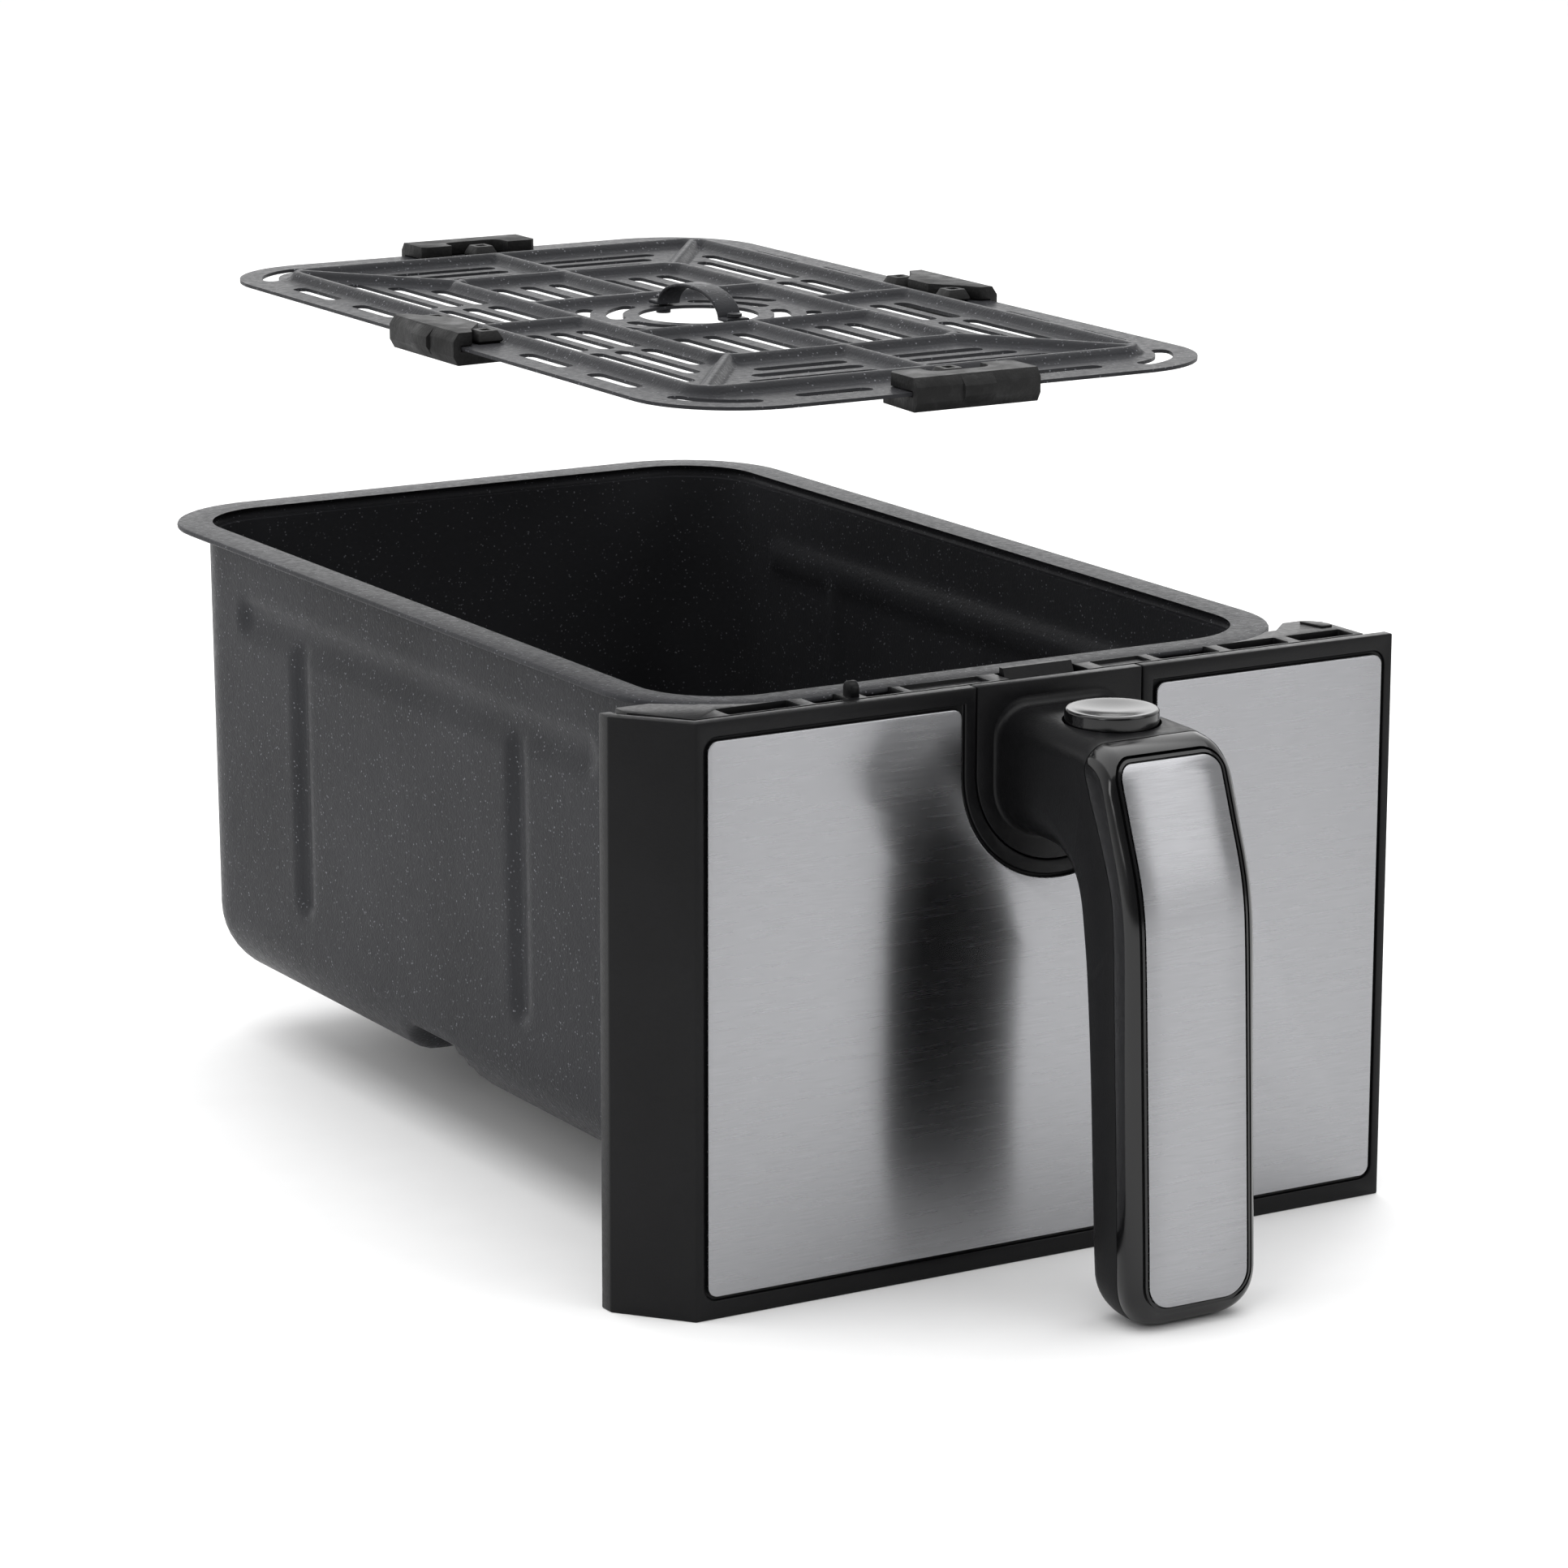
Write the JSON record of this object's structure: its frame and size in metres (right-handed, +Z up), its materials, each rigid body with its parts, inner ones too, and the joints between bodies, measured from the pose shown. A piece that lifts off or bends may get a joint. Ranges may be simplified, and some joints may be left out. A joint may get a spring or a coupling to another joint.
{
  "type": "air fryer drawer with crisper plate",
  "caption": "Deep coated air fryer drawer with a brushed fascia, a curved handle with a release button, and a slotted crisper plate with silicone clips lifted out above it.",
  "frame": {"origin": "bottom centre of the bounding box, with the plate in its lifted place", "axes": "+X to the right as seen from the front, +Y from the fascia towards the back of the pan, +Z up"},
  "size_m": [0.1944, 0.3366, 0.2006],
  "materials": {
    "nonstick_coated_steel": "satin speckled non-stick coating",
    "satin_black_plastic": "fine satin moulded",
    "gloss_black_plastic": "polished",
    "brushed_stainless": "fine horizontal brushing",
    "zinc_plated_steel": "zinc plated",
    "spring_steel": "bright drawn wire",
    "black_silicone": "matt silicone"
  },
  "bodies": {
    "drawer": {"pan": "nonstick_coated_steel", "inner_frame": "satin_black_plastic", "front_fascia": "satin_black_plastic", "handle_rear_shell": "satin_black_plastic", "handle_front_bezel": "gloss_black_plastic", "fascia_steel_panel": "brushed_stainless", "handle_steel_insert": "brushed_stainless", "pan_bracket": "zinc_plated_steel", "latch_pin": "zinc_plated_steel", "pan_screw_1": "zinc_plated_steel", "pan_screw_2": "zinc_plated_steel", "pan_screw_3": "zinc_plated_steel", "pan_screw_4": "zinc_plated_steel", "fascia_screw_1": "zinc_plated_steel", "fascia_screw_2": "zinc_plated_steel", "fascia_screw_3": "zinc_plated_steel", "fascia_screw_4": "zinc_plated_steel", "handle_screw_1": "zinc_plated_steel", "handle_screw_2": "zinc_plated_steel", "handle_screw_3": "zinc_plated_steel", "button_spring": "spring_steel", "hook_spring": "spring_steel"},
    "button": {"release_button": "gloss_black_plastic"},
    "hook": {"latch_hook": "satin_black_plastic"},
    "plate": {"crisper_plate": "nonstick_coated_steel", "plate_loop": "nonstick_coated_steel", "loop_rivet_front": "nonstick_coated_steel", "loop_rivet_rear": "nonstick_coated_steel", "clip_left": "black_silicone", "clip_right": "black_silicone", "clip_front": "black_silicone", "clip_rear": "black_silicone"}
  },
  "joints": [
    {"name": "button_press", "type": "slide", "parent": "drawer", "child": "button", "axis": [0, 0, -1], "range_m": [0, 0.0035], "stiffness_N_per_m": 600, "springref_m": -0.003, "deforming": ["button_spring"]},
    {"name": "hook_pivot", "type": "hinge", "parent": "drawer", "child": "hook", "pos_m": [0.00725, -0.1052, 0.1091], "axis": [1, 0, 0], "range_deg": [0, 10.1]},
    {"name": "plate_lift", "type": "slide", "parent": "drawer", "child": "plate", "axis": [0, 0, 1], "range_m": [-0.155, 0]}
  ],
  "couplings": [
    {"joint": "hook_pivot", "follows": "button_press", "rad_per_m": 50}
  ]
}
